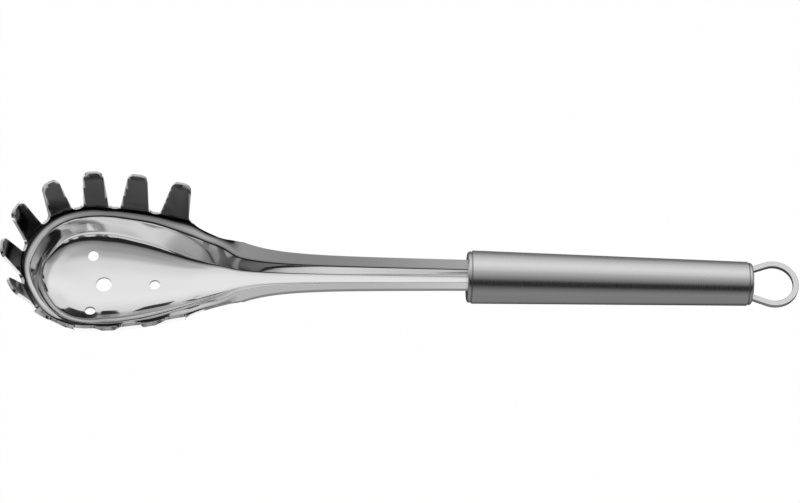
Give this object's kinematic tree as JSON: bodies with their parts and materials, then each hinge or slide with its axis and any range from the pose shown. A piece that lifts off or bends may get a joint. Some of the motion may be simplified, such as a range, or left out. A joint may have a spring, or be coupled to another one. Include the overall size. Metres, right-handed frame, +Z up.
{
  "type": "pasta server",
  "caption": "Stainless steel pasta server: dished scoop with upright tines and drain holes, channel neck, capped tube handle and a fixed hanging loop.",
  "frame": {"origin": "on the table under the middle of the tool's length, in its middle plane", "axes": "+X along the tool from the tines to the hanging loop, +Y across it, +Z up from the table"},
  "size_m": [0.3216, 0.0712, 0.0339],
  "materials": {
    "head_steel": "polished, with fine drawing lines on the tines and neck",
    "handle_steel": "satin, brushed along the handle",
    "cap_steel": "satin, turned",
    "loop_steel": "fine satin face with polished edges",
    "weld_steel": "dull weld bead, ground in the grooves"
  },
  "bodies": {
    "root": {"head": "head_steel", "handle_tube": "handle_steel", "front_cap": "cap_steel", "rear_cap": "cap_steel", "hanging_loop": "loop_steel", "front_seam_weld": "weld_steel", "rear_seam_weld": "weld_steel", "neck_weld": "weld_steel", "loop_weld": "weld_steel"}
  },
  "joints": []
}
